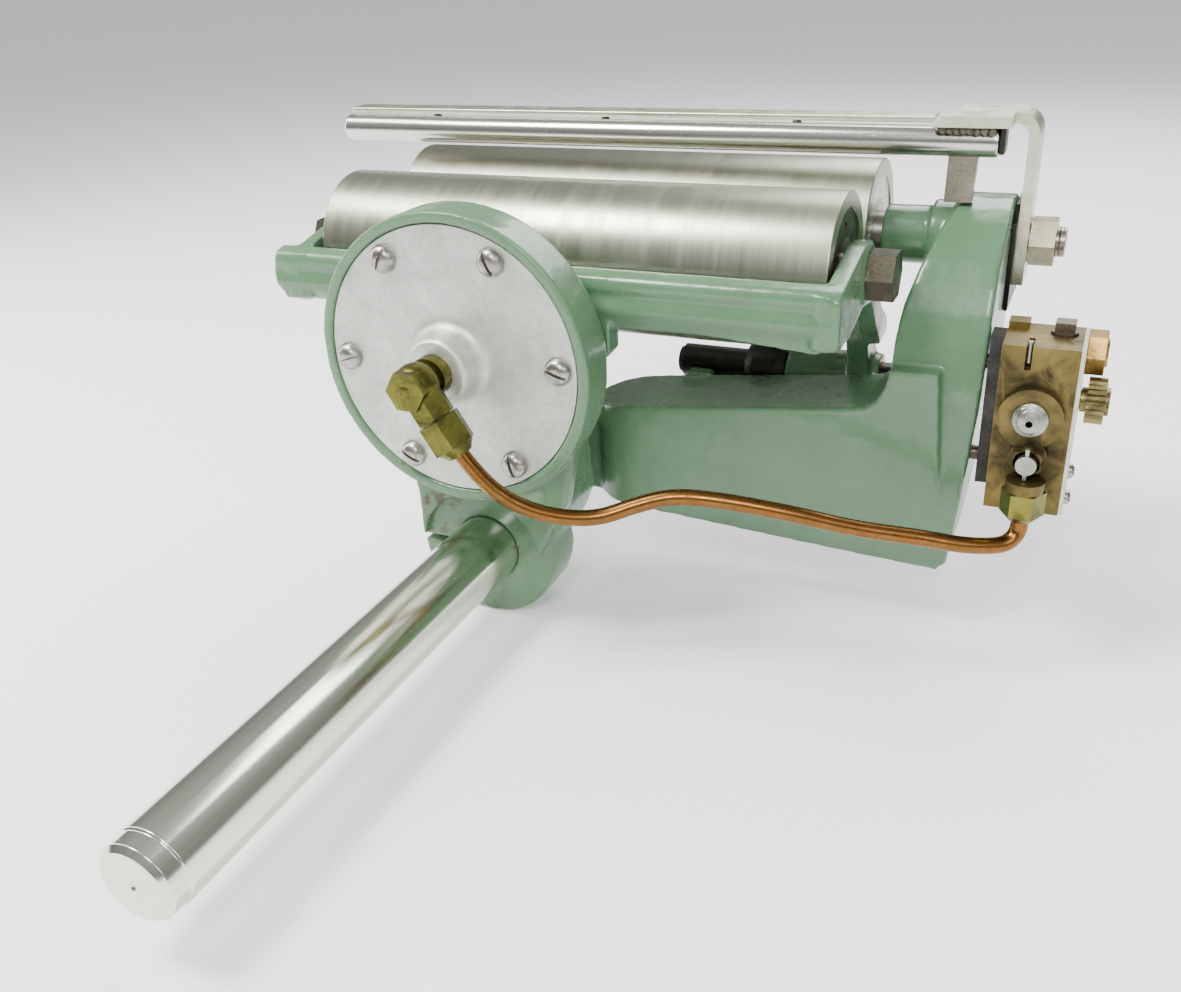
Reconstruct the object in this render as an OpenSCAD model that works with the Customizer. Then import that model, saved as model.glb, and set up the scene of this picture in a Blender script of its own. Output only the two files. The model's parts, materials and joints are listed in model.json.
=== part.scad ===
// Pneumatic nip-roller cloth guider head.
// Two steel rollers, one fixed and one carried in a swinging yoke, grip the edge
// of a moving web when air fills the diaphragm chamber. A valve block on the end
// standard feeds the chamber through a bent copper pipe.
// X runs along the rollers, Y runs away from the free end of the mounting shaft, Z is up.
// The origin is on the mounting shaft's axis at the clamp face.

/* [Mounting shaft] */
// Diameter of the mounting shaft
shaft_d = 31.75; // [31.5:0.05:32]
// Free length of the mounting shaft
shaft_free = 227.5; // [150:0.5:260]
// Diameter of the seat held in the clamp
shaft_seat_d = 31; // [30.5:0.1:31.2]
// Outer radius of the clamp boss
boss_r = 34.5; // [32:0.5:36]
// Length of the clamp boss
boss_len = 23; // [22:1:26]

/* [Air chamber] */
// Height of the chamber axis above the shaft axis
chamber_z = 96.6; // [95:0.1:98]
// Outer radius of the chamber rim
rim_r = 64; // [62:0.5:66]
// Radius of the cover plate
cover_r = 58.7; // [58:0.1:59]
// Pitch circle of the cover screws
screw_pcd = 101.6; // [100:0.1:103]
// Depth of the chamber casting
rim_depth = 20; // [19:0.5:20.5]

/* [Rollers] */
// Diameter of both rollers
roller_d = 66; // [64:0.5:66.4]
// Length of both rollers
roller_len = 238; // [230:1:238]
// Wall of the roller tube
roller_wall = 7; // [5:0.5:8]
// Diameter of the front axle
front_axle_d = 16; // [14:0.5:17]
// Diameter of the rear axle
rear_axle_d = 19; // [18:0.5:20]

/* [Yoke] */
// Diameter of the yoke pivot shaft
pivot_d = 16; // [14:0.5:16]
// Outer radius of the yoke pivot hub
pivot_hub_r = 12; // [11.5:0.5:12]

/* [Guard] */
// Diameter of the guard rod
guard_d = 12.7; // [12:0.1:13]
// Length of the guard rod
guard_len = 326; // [300:1:328]

/* [Air pipe] */
// Outside diameter of the copper pipe
pipe_d = 6.9; // [6:0.1:7]

/* [Hidden] */
$fn = 64;
Y0 = -15;              // cover plate's outer face in the part's frame
green = [0.42,0.60,0.50];
fy = 74; ry = 143.8; rz = 29.3; rr = roller_d/2;
fx0 = -89.5; rx0 = -90;
py = 130; pz = -37;    // yoke pivot axis
gy = 128; gz = 73.3;   // guard rod axis
eps = 0.01;

// chamber frame: origin on the chamber axis at the cover plate's outer face
module cf() { translate([0,Y0,chamber_z]) children(); }
// cylinders along X and Y that start at the given point
module cx(x,y,z,r,l) { translate([x,y,z]) rotate([0,90,0]) cylinder(r=r,h=l); }
module cy(x,y,z,r,l) { translate([x,y,z]) rotate([-90,0,0]) cylinder(r=r,h=l); }
// hex prism along X with the given width across flats
module hexx(x,y,z,af,l) { translate([x,y,z]) rotate([0,90,0]) rotate([0,0,30]) cylinder(r=af/2/cos(30),h=l,$fn=6); }
module hexy(x,y,z,af,l) { translate([x,y,z]) rotate([-90,0,0]) cylinder(r=af/2/cos(30),h=l,$fn=6); }
// plate whose outline is drawn in Y,Z and which is l thick from x
module platex(x,l) { translate([x,0,0]) rotate([90,0,90]) linear_extrude(l) children(); }
// plate whose outline is drawn in X,Z and which is l thick from y
module platey(y,l) { translate([0,y+l,0]) rotate([90,0,0]) linear_extrude(l) children(); }

screw_xz = [for(i=[0:5]) [screw_pcd/2*cos(2+60*i), screw_pcd/2*sin(2+60*i)]];

// ---------- castings ----------
module mount_head() color(green) cf() difference() {
  union() {
    cy(0,-1,0,rim_r,rim_depth+1);
    cy(0,15,-chamber_z,boss_r,boss_len);
    // neck from the rim down to the clamp boss, in two steps
    platey(8.5,9) polygon([[-50,-30],[-36,-50],[-31.5,-62],[-30.5,-76],[-31,-90],[-24,-104],[0,-120],[24,-104],[31,-92],[36,-80],[45,-66],[54,-24]]);
    platey(16.2,30) polygon([[-27,-48],[-28,-84],[-20,-96],[22,-98],[32,-91],[38,-83],[43,-70],[41,-44]]);
    // pad the frame bolts to
    platey(42,38) polygon([[-27,-52],[-27,-91],[24,-91],[24,-52]]);
    // bush boss
    cy(0,12,0,14,10);
  }
  cy(0,-2,0,cover_r+0.25,9);
  cy(0,6.5,0,46,8.4);
  for(p=screw_xz) cy(p[0],0,p[1],3.2,18);
  cy(0,10,0,9.5,20);
  // shaft seat, blind
  cy(0,14,-chamber_z,shaft_seat_d/2,boss_len+5.2);
  // spot face in front of the clamp boss, and a clear hole through the neck
  cy(0,5,-chamber_z,30,10);
  // clamp slit and screw holes
  translate([-boss_r-4,10,-chamber_z-1.25]) cube([boss_r+2,60,2.5]);
  for(y=[26.5]) translate([-25.5,y,-chamber_z-45]) cylinder(r=4.05,h=52);
  for(y=[26.5]) translate([-25.5,y,-chamber_z-45]) cylinder(r=7.2,h=23);
  for(x=[-14,12]) cy(x,53,-72,5.05,40);
}

module standard_yz() polygon([[163.8,29.3],[162.3,36.9],[157.9,43.4],[151.4,47.8],[143.8,49.3],[134,48.6],[125,46.6],[114,42.8],[105,38],[96,31],[89,22.5],[83.5,12],[79,-2],[76,-18],[74,-36],[72,-60],[70,-99],[115,-99],[128,-84],[140,-62],[149,-37],[154,-10],[160,14]]);
module standard_xz() polygon([[187,60],[185.5,50],[180.5,40],[175,28],[171,14],[169.2,0],[168.8,-16],[168.8,-99.8],[196,-101.5],[200,-98],[203,-70],[206,-30],[207,0],[207,60]]);
module main_frame() color(green) cf() difference() {
  union() {
    intersection() { platex(140,80) standard_yz(); platey(60,120) standard_xz(); }
    // beam
    intersection() {
      translate([0,70,-110]) cube([198,45,100]);
      platey(60,60) polygon([[27,-43.6],[150,-29.6],[160,-28],[165,-24.5],[168,-19],[170,-10],[190,-10],[197,-101.5],[150,-99.3],[27,-92]]);
      union() { translate([49.5,92.5,-120]) cylinder(r=22.5,h=120,$fn=96); translate([49.5,70,-120]) cube([150,45,120]); }
    }
    // tongue behind the head
    translate([-27,80,-92]) cube([76,25,40]);
    // rear roller hub
    cx(151,ry,rz,13,40);
    cx(172,ry,rz,16,16);
    // saddle on the back of the beam for the pivot shaft's outer end
    difference() {
      platex(64,12) polygon([[112,-37.4],[116,-37.4],[119,-46],[128,-50],[143,-50],[143,-54],[134,-62],[112,-72]]);
      translate([60,py-9,-50.5]) cube([20,20,6]);
    }
    platex(64,12) polygon([[112,-42],[118.5,-37.2],[121,-37.2],[123.5,-43.6],[130,-46.4],[136.5,-43.6],[139,-37.2],[141.5,-37.2],[141,-46],[136,-54],[112,-60]]);
  }
  // axle bore, pivot bores, bolt holes
  cx(145,ry,rz,rear_axle_d/2,70);
  cx(60,py,pz,pivot_d/2,18);
  translate([70,py,pz-30]) cylinder(r=3.05,h=30);
  cx(167,py,pz,pivot_d/2,26);
  for(x=[-14,12]) cy(x,76,-72,5.05,40);
  for(z=[-8,-50]) cx(190,88,z,3.05,30);
  // cored pocket under the beam
  translate([56,78,-112]) cube([88,29,66]);
}

module mounting_shaft() color([0.78,0.78,0.76]) union() {
  rotate([90,0,0]) rotate_extrude($fn=128) polygon([[0,-boss_len-4],[shaft_seat_d/2,-boss_len-4],[shaft_seat_d/2,0],[shaft_d/2,0],[shaft_d/2,shaft_free-9],[shaft_d/2-0.7,shaft_free-8.3],[shaft_d/2-0.7,shaft_free-2],[shaft_d/2-2.7,shaft_free],[1.6,shaft_free],[0,shaft_free-1.6]]);
}

module clamp_screws() color([0.2,0.2,0.2]) for(y=[26.5]) translate([-25.5,Y0+y,0]) {
  difference() { translate([0,0,-30]) cylinder(r=6.5,h=8); translate([0,0,-31]) cylinder(r=3.4,h=5,$fn=6); }
  translate([0,0,-22.01]) cylinder(r=4.05,h=27);
}

module frame_bolts() color([0.25,0.22,0.18]) cf() for(x=[-14,12]) {
  hexy(x,105,-72,16,7);
  cy(x,54,-72,5.05,51.01);
}

// ---------- chamber ----------
module chamber_cover() color([0.72,0.72,0.74]) cf() difference() {
  union() {
    cy(0,0,0,cover_r,5);
    rotate([90,0,0]) rotate_extrude($fn=96) polygon([[0,-1],[22,-1],[22,0],[19,0.5],[17,1.8],[15.6,4],[15,7],[14.4,11],[13.2,12.6],[11,13],[0,13]]);
  }
  for(p=screw_xz) cy(p[0],-2,p[1],3.3,9);
  cy(0,-14,0,6.5,20);
}
module cover_screws() color([0.55,0.54,0.5]) cf() for(i=[0:5]) translate([screw_xz[i][0],0,screw_xz[i][1]]) {
  difference() {
    rotate([90,0,0]) rotate_extrude($fn=48) polygon([[0,0],[6,0],[6,0.9],[5.5,2.4],[4.4,3.7],[2.6,4.5],[0,4.8]]);
    rotate([0,i*47+20,0]) translate([-8,-6,-0.7]) cube([16,3.4,1.4]);
  }
  cy(0,-0.01,0,3.2,16);
}
module diaphragm() color([0.15,0.15,0.15]) cf() difference() {
  cy(0,5,0,cover_r,2);
  for(p=screw_xz) cy(p[0],4,p[1],3.25,5);
}
module rod_bush() color([0.7,0.55,0.3]) cf() difference() { cy(0,14.99,0,9.5,7.01); cy(0,13,0,6.4,11); }
module diaphragm_plate() color([0.6,0.6,0.62]) cf() difference() {
  union() { cy(0,7.3,0,40,2.2); cy(0,9.4,0,10,1.4); }
  cy(0,7,0,3,5);
}
module push_rod() color([0.75,0.75,0.75]) cf() union() {
  cy(0,10.8,0,6.35,12.7);
  cy(0,7.3,0,3,4);
}
module coil(r,w,x0,x1,turns,n=14) {
  rings = turns*n;
  pts=[for(i=[0:rings]) for(j=[0:7]) let(a=360*i/n,y=x0+(x1-x0)*i/rings,b=45*j) [(r+w*cos(b))*cos(a), y+w*sin(b), (r+w*cos(b))*sin(a)]];
  faces=concat([[for(j=[0:7]) j]],[for(i=[0:rings-1]) for(j=[0:7]) [i*8+j,(i+1)*8+j,(i+1)*8+(j+1)%8,i*8+(j+1)%8]],[[for(j=[7:-1:0]) rings*8+j]]);
  polyhedron(points=pts,faces=faces,convexity=8);
}
module return_spring() color([0.4,0.4,0.42]) cf() coil(24,1.1,10.9,13.6,1.5,20);

// ---------- air fittings ----------
od = [sin(32),0,-cos(32)];        // outlet direction of the elbow
module along(p,ang) { translate(p) rotate([0,180-ang,0]) children(); }
module elbow_fitting() color([0.60,0.55,0.25]) cf() difference() {
  union() {
    cy(0,-24,0,6.5,24);
    cy(0,-19,0,8.5,6);
    translate([0,-27,0]) sphere(r=9.5);
    translate([0,-27,0]) rotate([90,0,0]) hexy2(15.5,9);
    along([0,-27,0],32) cylinder(r=8.6,h=15.5,$fn=6);
    along([0,-27,0],32) cylinder(r=5.6,h=24);
  }
  along([0,-27,0],32) translate([0,0,12]) cylinder(r=pipe_d/2+0.02,h=20);
}
module hexy2(af,h) { cylinder(r=af/2/cos(30),h=h,$fn=6); }
module elbow_nut() color([0.62,0.56,0.24]) cf() difference() {
  union() { along([0,-27,0],32) translate([0,0,16]) cylinder(r=9.6,h=13,$fn=6); along([0,-27,0],32) translate([0,0,29]) cylinder(r1=8.2,r2=5.2,h=4,$fn=32); }
  along([0,-27,0],32) translate([0,0,15]) cylinder(r=5.6,h=9.01);
  along([0,-27,0],32) translate([0,0,23]) cylinder(r=pipe_d/2+0.02,h=20);
}
// pipe route from the elbow nut to the valve, round numbers in the chamber frame
route = [[6.9,-27,-11],[12.7,-27,-20.4],[20,-26,-32],[29,-23,-44],[40,-18,-53],[54,-12,-58],[68,-5,-59],[82,3,-55],[96,9,-52],[114,14,-53],[140,20,-57],[168,27,-63],[192,33,-66],[207,38,-69],[218,44,-71],[225,49,-71],[228.6,52.4,-67],[229,53,-60],[229,53,-50]];
function cr(a,b,c,d,t) = 0.5*((2*b)+(c-a)*t+(2*a-5*b+4*c-d)*t*t+(3*b-a-3*c+d)*t*t*t);
function rp(i) = route[max(0,min(len(route)-1,i))];
sub = 4;
path = [for(i=[0:len(route)-2]) for(s=[0:sub-1]) cr(rp(i-1),rp(i),rp(i+1),rp(i+2),s/sub), route[len(route)-1]];
function unit(v) = v/norm(v);
function tang(i) = unit(path[min(len(path)-1,i+1)]-path[max(0,i-1)]);
function fr(i,prev) = unit(prev-(prev*tang(i))*tang(i));
function frames(i,prev) = i>=len(path) ? [] : let(n=fr(i,prev)) concat([n],frames(i+1,n));
module sweep(r,sides) {
  ns = frames(0,[0,1,0.01]);
  pts = [for(i=[0:len(path)-1]) let(n=ns[i],b=cross(tang(i),n)) for(j=[0:sides-1]) path[i]+r*cos(360*j/sides)*n+r*sin(360*j/sides)*b];
  L = len(path);
  polyhedron(points=pts,faces=concat([[for(j=[0:sides-1]) j]],[for(i=[0:L-2]) for(j=[0:sides-1]) [i*sides+j,(i+1)*sides+j,(i+1)*sides+(j+1)%sides,i*sides+(j+1)%sides]],[[for(j=[sides-1:-1:0]) (L-1)*sides+j]]),convexity=8);
}
module copper_pipe() color([0.72,0.42,0.24]) cf() sweep(pipe_d/2-0.02,12);

// ---------- valve ----------
vx0 = 213.5; vx1 = 242.5; vy0 = 62; vy1 = 92; vz0 = -62; vz1 = 8.5;
module pipe_nut() color([0.62,0.55,0.22]) cf() difference() {
  union() { translate([229,53,-58]) cylinder(r=8.6,h=10,$fn=6); translate([229,53,-61]) cylinder(r1=5,r2=7.6,h=3.01,$fn=32); }
  translate([229,53,-62]) cylinder(r=pipe_d/2+0.02,h=12.01);
  translate([229,53,-50]) cylinder(r=5.5,h=3);
}
module valve_body() color([0.45,0.34,0.2]) cf() difference() {
  union() {
    translate([vx0,vy0,vz0]) cube([vx1-vx0,vy1-vy0,vz1-vz0]);
    translate([vx0,vy1-9,vz1-eps]) cube([8,8,3]);
    // raised round pad for the port and stem
    cy(227.5,vy0-4,-20,12.5,5);
    cy(228.5,vy0-4,-36.5,7.4,5);
    // pipe boss
    translate([229,53,-48]) cylinder(r=7.5,h=4.5);
    translate([224,53,-48]) cube([10,12,4.5]);
    translate([229,53,-50]) cylinder(r=5.5,h=4);
  }
  cy(227.5,vy0-5,-20,7,17);
  cy(228.5,vy0-7,-36.5,4.05,25);
  translate([229,53,-51]) cylinder(r=2.4,h=6);
  translate([235,82,vz1-12]) cylinder(r=3.05,h=14);
  translate([222.6,vy0-1,-1]) cube([2.4,12,12]);
  cx(vx1-4,83,1.6,5.05,6);
  cx(vx1-18,80,-17.6,4.05,20);
  for(z=[-45,-57]) cx(vx1-10,70,z,1.55,12);
  for(z=[-8,-50]) cx(vx0-1,88,z,3.05,24);
}
module valve_spacer() color([0.3,0.3,0.28]) cf() difference() {
  translate([207.5,80,vz0+2]) cube([6,11,66]);
  for(z=[-8,-50]) cx(205,88,z,3.05,12);
}
module valve_mount_screws() color([0.3,0.28,0.26]) cf() for(z=[-8,-50]) cx(196,88,z,3.05,40);
module valve_side_plate() color([0.7,0.7,0.66]) cf() difference() {
  translate([vx1,vy0-0.8,vz0+1]) cube([1.6,vy1-vy0+0.8,vz1-vz0-1]);
  cx(vx1-1,83,1.6,5.05,4);
  cx(vx1-1,80,-17.6,4.05,4);
  for(z=[-45,-57]) cx(vx1-1,70,z,1.6,4);
}
module valve_plate_screws() color([0.4,0.36,0.3]) cf() for(z=[-45,-57]) {
  difference() {
    translate([vx1+1.6,70,z]) rotate([0,90,0]) rotate_extrude($fn=36) polygon([[0,0],[3,0],[2.8,1.2],[1.8,2.1],[0,2.4]]);
    translate([vx1+3,66,z-0.35]) cube([2,8,0.7]);
  }
  cx(vx1-9,70,z,1.55,10.7);
}
module valve_port() color([0.68,0.68,0.64]) cf() difference() {
  union() {
    cy(227.5,vy0-9,-20,6.6,20);
    for(i=[0:4]) cy(227.5,vy0-8.6+i*1.6,-20,7,0.9);
    cy(227.5,vy0+1,-20,7,10);
  }
  cy(227.5,vy0-10,-20,3.6,22);
}
module valve_stem() color([0.65,0.65,0.6]) cf() union() {
  cy(228.5,vy0-12,-36.5,4,25);
  translate([227.8,vy0-11.5,-43]) cube([1.4,2.2,13.4]);
}
module stem_gland() color([0.5,0.42,0.2]) cf() difference() {
  union() {
    translate([228.5,vy0-4,-36.5]) rotate([90,0,0]) linear_extrude(5) polygon([for(i=[0:35]) let(r=5.9+0.7*cos(60*i)) [r*cos(i*10+90),r*sin(i*10+90)]]);
  }
  cy(228.5,vy0-12,-36.5,4.05,20);
  translate([228.5,vy0-7.6,-36.5]) rotate([90,0,0]) cylinder(r=4.8,h=5);
}
module valve_hex_plug() color([0.65,0.42,0.26]) cf() union() {
  hexx(vx1+1.6,83,1.6,16,7);
  cx(vx1+8.59,83,1.6,5.6,0.8);
  cx(vx1-4,83,1.6,5.05,5.7);
}
module valve_knob() color([0.4,0.36,0.2]) cf() difference() {
  union() {
    cx(vx1+1.9,80,-17.6,5,2.2);
    translate([vx1+4,80,-17.6]) rotate([0,90,0]) linear_extrude(7) polygon([for(i=[0:47]) let(r=i%2==0?9.4:8.6) [r*cos(i*7.5),r*sin(i*7.5)]]);
    cx(vx1+10.99,80,-17.6,5.6,1.6);
    cx(vx1-16,80,-17.6,4,18.2);
  }
  translate([vx1+11.6,74,-18.2]) cube([2,12,1.2]);
}
module valve_top_screw() color([0.3,0.26,0.2]) cf() union() {
  translate([231.2,78.2,vz1+1.2]) cube([7.6,7.6,4]);
  translate([235,82,vz1-10]) cylinder(r=3.05,h=12);
  translate([235,82,vz1]) cylinder(r=5.2,h=1.21);
}
module valve_pin() color([0.7,0.7,0.68]) cf() translate([223.8,vy0+3,1]) cylinder(r=1.2,h=9);

// ---------- yoke ----------
module rail_yz() polygon([[25.5,32.8],[27.5,34.6],[33,36],[36.2,34.5],[37,31],[37,13],[34,11],[30,12],[27,15.5],[25,18.5],[24.2,21],[25.2,24],[26.2,26.5],[25,29.5]]);
module yoke() color(green) cf() difference() {
  union() {
    platex(-106,260) rail_yz();
    // lower web, deeper towards the right
    platey(28.5,8.2) polygon([[40,14],[153,14],[154,11],[148,8.6],[60,16],[40,16]]);
    // plate behind the chamber
    platey(26,11) polygon([[-34,34],[62,34],[62,2],[58,-3],[22,-8],[-22,-8],[-34,4]]);
    // left end block
    platey(25.6,12.2) polygon([[-107.5,27],[-105,33],[-88,34.6],[-88,13.4],[-103,12.4],[-104.5,18],[-107.5,19]]);
    // side arms
    platex(-99,7) arm_yz();
    platex(149.9,7.8) arm_yz();
    cx(-101,fy,rz,12,9);
    cx(149.9,fy,rz,12.5,8.6);
    // right corner, rounded in plan
    translate([151.2,31,11]) cylinder(r=6.4,h=22.6);
    // right leg down to the pivot hub
    platex(149.9,7.8) polygon([[68,17],[64,30],[86,34],[100,16],[112,4],[126,-4],[128,-12],[112,-14],[97,0],[84,14]]);
    platex(142.2,10) polygon([[110,0],[126,-3],[129,-15],[141,-30],[141,-45],[121,-45],[117,-36],[116.5,-26],[111,-14]]);
    cx(112,py,pz,pivot_hub_r,44);
    
  }
  // front face of the right corner stays clear of the head
  cx(-104,fy,rz,6.4,14);
  cx(148,fy,rz,6.4,14);
  cx(110,py,pz,pivot_d/2+2.5,50);
  cy(0,20,0,4.05,20);
}
module arm_yz() {
  polygon([[25,14],[25,31],[29,34.4],[60,41],[68,42.5],[80,42],[86.4,34],[87,26],[80,17.5],[68,16.5],[44,11],[30,11]]);
}
module pivot_shaft() color([0.12,0.12,0.12]) cf() union() { cx(58,py,pz,pivot_d/2,133); cx(56,py,pz,pivot_d/2-1.6,2.01); }
module pivot_bushes() color([0.7,0.52,0.3]) cf() for(x=[112,142]) difference() { cx(x,py,pz,pivot_d/2+2.5,14); cx(x-1,py,pz,pivot_d/2+0.05,16); }
module pivot_collar() color([0.1,0.1,0.1]) cf() difference() {
  translate([92,py,pz]) rotate([0,90,0]) rotate_extrude($fn=64) polygon([[8,0],[11,0],[13,4],[13,14],[11.5,19.4],[8,19.4]]);
  translate([101,py,pz]) cylinder(r=2.5,h=20);
}
module contact_screw() color([0.3,0.3,0.32]) cf() union() {
  cy(0,26,0,4.05,16);
  translate([0,26,0]) rotate([90,0,0]) rotate_extrude($fn=48) polygon([[0,0],[6,0],[6,0.9],[4,1.8],[0,2.1]]);
}
module contact_locknut() color([0.3,0.28,0.26]) cf() difference() { hexy(0,37,0,13,4.6); cy(0,36,0,4.05,8); }

// ---------- rollers ----------
module rtube(x,y) difference() { cx(x,y,rz,rr,roller_len); cx(x-1,y,rz,rr-roller_wall,roller_len+2); }
module heads(x,y,bore) for(e=[0,1]) difference() {
  cx(x+(e==0?0.8:roller_len-9.8),y,rz,rr-roller_wall,9);
  cx(x-2+(e==0?0:roller_len-12),y,rz,bore,16);
}
module bearings(x,y,ri,ro) for(e=[0,1]) difference() {
  union() { cx(x+(e==0?0.8:roller_len-9.8),y,rz,ro,9); }
  cx(x-2+(e==0?0:roller_len-12),y,rz,ri,16);
}
module front_roller_tube() color([0.7,0.69,0.66]) cf() rtube(fx0,fy);
module front_roller_heads() color([0.35,0.33,0.3]) cf() difference() { heads(fx0,fy,14); for(a=[0,90,180,270]) cx(fx0-1,fy+19*cos(a),rz+19*sin(a),2,roller_len+2); }
module front_bearings() color([0.5,0.45,0.35]) cf() bearings(fx0,fy,front_axle_d/2+0.05,14);
module front_axle() color([0.5,0.48,0.45]) cf() union() {
  cx(-91.9,fy,rz,front_axle_d/2,241.7);
  cx(-113.5,fy,rz,6.35,281);
}
module front_axle_nuts() color([0.22,0.16,0.13]) cf() difference() {
  union() { hexx(158.6,fy,rz,19,11); hexx(-112,fy,rz,19,11); cx(158.51,fy,rz,9.4,1.2); cx(-102.3,fy,rz,9.4,1.29); }
  cx(-118,fy,rz,6.36,286);
}
module rear_roller_tube() color([0.7,0.69,0.66]) cf() rtube(rx0,ry);
module rear_roller_heads() color([0.72,0.71,0.68]) cf() difference() {
  heads(rx0,ry,15);
  for(a=[70:10:110]) cx(rx0-1,ry-20*sin(a),rz+20*cos(a)+0,1.3,roller_len+2);
}
module rear_bearings() color([0.5,0.45,0.35]) cf() bearings(rx0,ry,rear_axle_d/2+0.05,15);
module rear_axle() color([0.6,0.6,0.58]) cf() union() {
  cx(-97,ry,rz,rear_axle_d/2,304);
  cx(206.9,ry,rz,6.35,21.6);
}
module rear_axle_nut() color([0.5,0.46,0.36]) cf() difference() {
  union() { hexx(214.1,ry,rz,19.05,10.4); cx(213.5,ry,rz,9.4,0.7); }
  cx(213,ry,rz,6.36,14);
}
module rear_axle_collar() color([0.3,0.3,0.3]) cf() difference() { cx(-96,ry,rz,14,5); cx(-98,ry,rz,rear_axle_d/2,9); translate([-93.5,ry,rz+8]) cylinder(r=2,h=7,$fn=6); }

// ---------- guard ----------
module backing_plate() color([0.22,0.24,0.2]) cf() difference() {
  platex(207,2) polygon([[126,2],[164,2],[164,47],[134,47],[126,40]]);
  cx(205,ry,rz,6.36,8);
}
module guard_bracket() color([0.72,0.70,0.62]) cf() difference() {
  union() {
    platey(ry-11,22) difference() {
      union() {
        polygon([[177,80.2],[204,80.2],[204,84.7],[180,84.7]]);
        translate([209,12]) square([4.5,62.7]);
        translate([203.5,74.7]) intersection() { circle(r=10); square([10,10]); }
      }
      translate([203.5,74.7]) circle(r=5.5);
    }
    // pad that reaches forward over the rod
    platey(gy-9,16) polygon([[171,80.2],[203,80.2],[203,84.7],[175,84.7]]);
  }
  cx(205,ry,rz,6.4,14);
}
module guard_strip() color([0.74,0.75,0.68]) cf() translate([-126,gy+1,80.4]) cube([296.9,13,2.6]);
module guard_rod() color([0.8,0.8,0.78]) cf() translate([-127.5,gy,gz]) rotate([0,90,0]) rotate_extrude($fn=96) polygon([[0,0],[guard_d/2-1,0],[guard_d/2,1],[guard_d/2,guard_len-1],[guard_d/2-1,guard_len],[0,guard_len]]);
module guard_stop_lug() color([0.5,0.48,0.4]) cf() difference() {
  platey(gy-3,6) polygon([[178,48.4],[189.5,48.4],[190.5,72],[178.5,72]]);
  cx(170,gy,gz,guard_d/2,40);
}
module guard_weld() color([0.3,0.28,0.24]) cf() difference() {
  union() {
    for(i=[0:7]) translate([174.5+i*2.9,gy-4.6,78.6-(i%2)*0.3]) sphere(r=2.5,$fn=20);
    for(i=[0:2]) translate([-75+i*93,gy+3,78.9]) sphere(r=2.2,$fn=20);
  }
  cx(-130,gy,gz,guard_d/2,350);
  translate([-130,gy-20,80.2]) cube([350,60,10]);
}
module guard_end_clip() color([0.25,0.25,0.22]) cf() platex(198.6,2.2) polygon([[123,69],[134,69],[134,80.1],[123,80.1]]);

mount_head();
main_frame();
mounting_shaft();
clamp_screws();
frame_bolts();
chamber_cover();
cover_screws();
diaphragm();
rod_bush();
diaphragm_plate();
push_rod();
return_spring();
elbow_fitting();
elbow_nut();
copper_pipe();
pipe_nut();
valve_body();
valve_spacer();
valve_mount_screws();
valve_side_plate();
valve_plate_screws();
valve_port();
valve_stem();
stem_gland();
valve_hex_plug();
valve_knob();
valve_top_screw();
valve_pin();
yoke();
pivot_shaft();
pivot_bushes();
pivot_collar();
contact_screw();
contact_locknut();
front_roller_tube();
front_roller_heads();
front_bearings();
front_axle();
front_axle_nuts();
rear_roller_tube();
rear_roller_heads();
rear_bearings();
rear_axle();
rear_axle_nut();
rear_axle_collar();
backing_plate();
guard_bracket();
guard_strip();
guard_rod();
guard_stop_lug();
guard_weld();
guard_end_clip();
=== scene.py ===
import json
import math
import bmesh
import bpy
from mathutils import Matrix, Vector, noise as mnoise


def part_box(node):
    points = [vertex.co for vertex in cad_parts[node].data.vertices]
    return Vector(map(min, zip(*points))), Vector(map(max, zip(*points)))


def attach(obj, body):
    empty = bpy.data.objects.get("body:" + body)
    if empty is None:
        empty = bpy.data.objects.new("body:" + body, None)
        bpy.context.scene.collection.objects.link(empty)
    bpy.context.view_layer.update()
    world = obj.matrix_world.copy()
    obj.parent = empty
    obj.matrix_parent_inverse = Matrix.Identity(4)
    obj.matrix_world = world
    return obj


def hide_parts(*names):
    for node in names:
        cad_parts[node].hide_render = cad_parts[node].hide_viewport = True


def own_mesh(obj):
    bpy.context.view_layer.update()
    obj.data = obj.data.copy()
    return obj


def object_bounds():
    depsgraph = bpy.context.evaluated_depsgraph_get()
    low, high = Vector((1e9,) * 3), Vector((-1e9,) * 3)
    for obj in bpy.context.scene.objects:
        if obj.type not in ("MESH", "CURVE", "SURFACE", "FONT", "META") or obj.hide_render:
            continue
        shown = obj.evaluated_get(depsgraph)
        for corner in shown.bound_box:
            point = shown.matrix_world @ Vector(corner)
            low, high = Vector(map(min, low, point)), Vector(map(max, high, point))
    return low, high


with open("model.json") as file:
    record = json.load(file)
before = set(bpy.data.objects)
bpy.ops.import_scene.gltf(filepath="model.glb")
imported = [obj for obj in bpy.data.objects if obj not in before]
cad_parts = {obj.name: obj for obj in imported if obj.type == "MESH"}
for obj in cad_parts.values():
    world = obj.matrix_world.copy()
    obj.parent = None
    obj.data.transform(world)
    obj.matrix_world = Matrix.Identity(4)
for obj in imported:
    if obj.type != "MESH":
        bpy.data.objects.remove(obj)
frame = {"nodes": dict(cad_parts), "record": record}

cad_low, cad_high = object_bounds()
N = frame["nodes"]
BODY = {}
for b, members in frame["record"]["behaviour"]["bodies"].items():
    for n in members:
        BODY[n] = b
SLOT = {p["node"]: p["material_slot"] for p in frame["record"]["subparts"]}
OX, OY, OZ = 0.0, -0.015, 0.0966


def cf(x, y, z):
    """chamber frame, millimetres, to the part's frame in metres"""
    return Vector((x / 1000 + OX, y / 1000 + OY, z / 1000 + OZ))


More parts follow.
